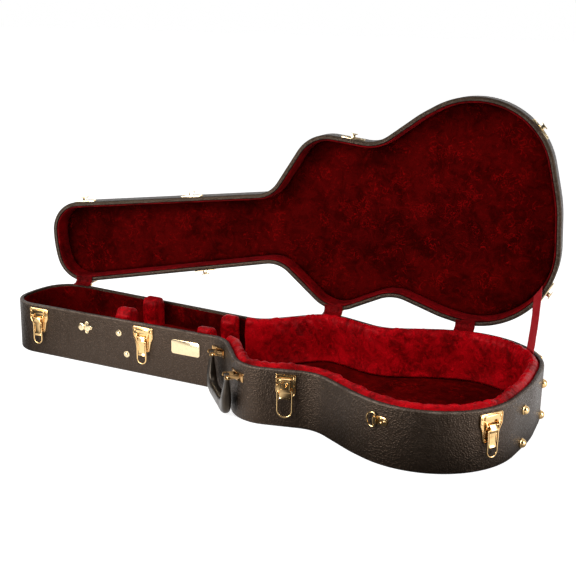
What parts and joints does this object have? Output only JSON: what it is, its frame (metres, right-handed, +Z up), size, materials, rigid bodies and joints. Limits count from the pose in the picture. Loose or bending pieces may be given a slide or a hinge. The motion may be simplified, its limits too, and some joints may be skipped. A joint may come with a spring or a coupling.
{
  "type": "guitar case",
  "caption": "Body-shaped hard case for a resonator guitar: hinged lid, padded velvet lining, neck cradle, flap compartment, draw latches with wire bails, swinging handle.",
  "frame": {"origin": "on the flat underside that the closed case lies on, at the middle of its length and of its width", "axes": "+X along the case from the head end to the wide end, +Y from the handle side to the hinge side, +Z up"},
  "size_m": [1.0814, 0.5049, 0.5435],
  "materials": {
    "vinyl": "dark brown grained vinyl over plywood, low sheen",
    "crimson_velvet": "crimson plush over foam, gathered into soft puckers",
    "maroon_velvet": "deep red plush, mottled by the lie of its pile",
    "gold": "pale gold plating, satin to polished",
    "black_plastic": "glossy black moulded plastic",
    "ribbon": "crimson woven ribbon with a satin sheen"
  },
  "bodies": {
    "base": {"base_side_wall": "vinyl", "base_bottom_panel": "vinyl", "base_body_padding": "crimson_velvet", "base_neck_lining": "maroon_velvet", "base_floor_pad": "maroon_velvet", "neck_cradle": "crimson_velvet", "heel_block": "crimson_velvet", "hinge_base_leaf_1": "gold", "hinge_base_leaf_2": "gold", "hinge_base_leaf_3": "gold", "hinge_cover_1": "crimson_velvet", "hinge_cover_2": "crimson_velvet", "hinge_cover_3": "crimson_velvet", "stay_ribbon": "ribbon", "latch_plate_1": "gold", "latch_plate_2": "gold", "latch_plate_3": "gold", "latch_plate_4": "gold", "latch_plate_5": "gold", "latch_plate_6": "gold", "handle_bracket_left": "gold", "handle_bracket_right": "gold", "badge_plate": "gold", "cradle_rivet_upper": "gold", "cradle_rivet_lower": "gold", "butt_foot_1": "gold", "butt_foot_2": "gold", "butt_foot_3": "gold", "butt_foot_4": "gold", "strap_rosette": "gold", "strap_loop_plate": "gold"},
    "lid": {"lid_side_wall": "vinyl", "lid_top_panel": "vinyl", "lid_wall_lining": "crimson_velvet", "lid_pad": "maroon_velvet", "hinge_lid_leaf_1": "gold", "hinge_lid_leaf_2": "gold", "hinge_lid_leaf_3": "gold", "lid_catch_1": "gold", "lid_catch_2": "gold", "lid_catch_3": "gold", "lid_catch_4": "gold", "lid_catch_5": "gold", "lid_catch_6": "gold"},
    "lever_1": {"latch_lever_1": "gold"},
    "bail_1": {"latch_bail_1": "gold"},
    "lever_2": {"latch_lever_2": "gold"},
    "bail_2": {"latch_bail_2": "gold"},
    "lever_3": {"latch_lever_3": "gold"},
    "bail_3": {"latch_bail_3": "gold"},
    "lever_4": {"latch_lever_4": "gold"},
    "bail_4": {"latch_bail_4": "gold"},
    "lever_5": {"latch_lever_5": "gold"},
    "bail_5": {"latch_bail_5": "gold"},
    "lever_6": {"latch_lever_6": "gold"},
    "bail_6": {"latch_bail_6": "gold"},
    "lock": {"lock_plug": "gold"},
    "grip": {"handle": "black_plastic"},
    "flap": {"compartment_lid": "maroon_velvet"},
    "strap_ring": {"strap_loop_ring": "gold"}
  },
  "joints": [
    {"name": "lid_hinge", "type": "hinge", "parent": "base", "child": "lid", "pos_m": [0, 0.2235, 0.1035], "axis": [1, 0, 0], "range_deg": [0, 91.9], "deforming": ["hinge_cover_1", "hinge_cover_2", "hinge_cover_3", "stay_ribbon"]},
    {"name": "latch_lever_hinge_1", "type": "hinge", "parent": "base", "child": "lever_1", "pos_m": [-0.46455, 0.03878, 0.077], "axis": [0.9928, -0.1194, 0], "range_deg": [-110, 0]},
    {"name": "latch_bail_hinge_1", "type": "hinge", "parent": "lever_1", "child": "bail_1", "pos_m": [-0.46487, 0.0361, 0.07], "axis": [-0.9928, 0.1194, 0], "range_deg": [0, 180]},
    {"name": "latch_lever_hinge_2", "type": "hinge", "parent": "base", "child": "lever_2", "pos_m": [-0.21405, 0.00866, 0.077], "axis": [0.9928, -0.1194, 0], "range_deg": [-110, 0]},
    {"name": "latch_bail_hinge_2", "type": "hinge", "parent": "lever_2", "child": "bail_2", "pos_m": [-0.21437, 0.00598, 0.07], "axis": [-0.9928, 0.1194, 0], "range_deg": [0, 180]},
    {"name": "latch_lever_hinge_3", "type": "hinge", "parent": "base", "child": "lever_3", "pos_m": [0.12654, -0.13012, 0.089], "axis": [0.9931, 0.1177, 0], "range_deg": [-110, 0]},
    {"name": "latch_bail_hinge_3", "type": "hinge", "parent": "lever_3", "child": "bail_3", "pos_m": [0.12686, -0.1328, 0.0685], "axis": [-0.9931, -0.1177, 0], "range_deg": [0, 180]},
    {"name": "latch_lever_hinge_4", "type": "hinge", "parent": "base", "child": "lever_4", "pos_m": [0.47848, -0.16632, 0.077], "axis": [0.6532, 0.7572, 0], "range_deg": [-110, 0]},
    {"name": "latch_bail_hinge_4", "type": "hinge", "parent": "lever_4", "child": "bail_4", "pos_m": [0.48053, -0.16808, 0.07], "axis": [-0.6532, -0.7572, 0], "range_deg": [0, 180]},
    {"name": "latch_lever_hinge_5", "type": "hinge", "parent": "base", "child": "lever_5", "pos_m": [0.51569, 0.14078, 0.082], "axis": [-0.4963, 0.8682, 0], "range_deg": [-110, 0]},
    {"name": "latch_bail_hinge_5", "type": "hinge", "parent": "lever_5", "child": "bail_5", "pos_m": [0.51803, 0.14212, 0.075], "axis": [0.4963, -0.8682, 0], "range_deg": [0, 180]},
    {"name": "latch_lever_hinge_6", "type": "hinge", "parent": "base", "child": "lever_6", "pos_m": [-0.18112, 0.16881, 0.077], "axis": [-0.9815, 0.1916, 0], "range_deg": [-110, 0]},
    {"name": "latch_bail_hinge_6", "type": "hinge", "parent": "lever_6", "child": "bail_6", "pos_m": [-0.1806, 0.17146, 0.07], "axis": [0.9815, -0.1916, 0], "range_deg": [0, 180]},
    {"name": "lock_turn", "type": "hinge", "parent": "lever_3", "child": "lock", "pos_m": [0.12719, -0.13558, 0.0815], "axis": [0.1177, -0.9931, 0], "range_deg": [0, 90]},
    {"name": "handle_hinge", "type": "hinge", "parent": "base", "child": "grip", "pos_m": [-0.01845, -0.074, 0.0785], "axis": [-0.5799, 0.8147, 0], "range_deg": [0, 100]},
    {"name": "compartment_flap_hinge", "type": "hinge", "parent": "base", "child": "flap", "pos_m": [-0.24543, 0.09641, 0.06], "axis": [0.1556, 0.9878, 0], "range_deg": [-85, 0]},
    {"name": "strap_ring_hinge", "type": "hinge", "parent": "base", "child": "strap_ring", "pos_m": [0.30175, -0.21044, 0.0757], "axis": [0, 0, 1], "range_deg": [0, 150]}
  ]
}
